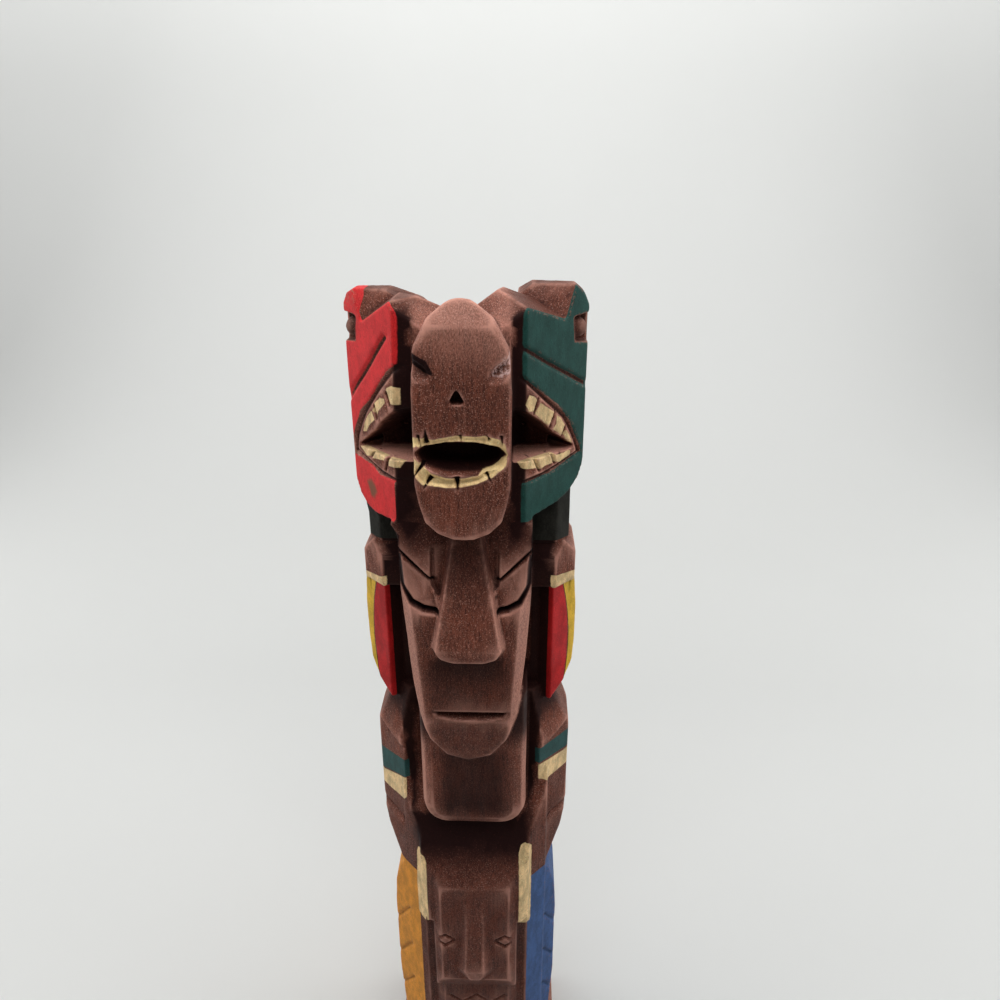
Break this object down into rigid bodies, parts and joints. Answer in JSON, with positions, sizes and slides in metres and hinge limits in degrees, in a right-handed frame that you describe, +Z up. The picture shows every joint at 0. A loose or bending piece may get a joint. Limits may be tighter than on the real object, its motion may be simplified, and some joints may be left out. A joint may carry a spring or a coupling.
{
  "type": "totem pole",
  "caption": "Small carved and painted wooden totem pole: heads at the top, a long face between feathers, a chest plate between arms, a bird below and a low base.",
  "frame": {"origin": "middle of the underside of the base", "axes": "+Z up the pole, -Y out of the carved front, +X to the right as seen from the front"},
  "size_m": [0.07, 0.064, 0.33],
  "materials": {
    "carved_wood": "stained and partly painted, satin"
  },
  "bodies": {
    "root": {"totem_pole": "carved_wood"}
  },
  "joints": []
}
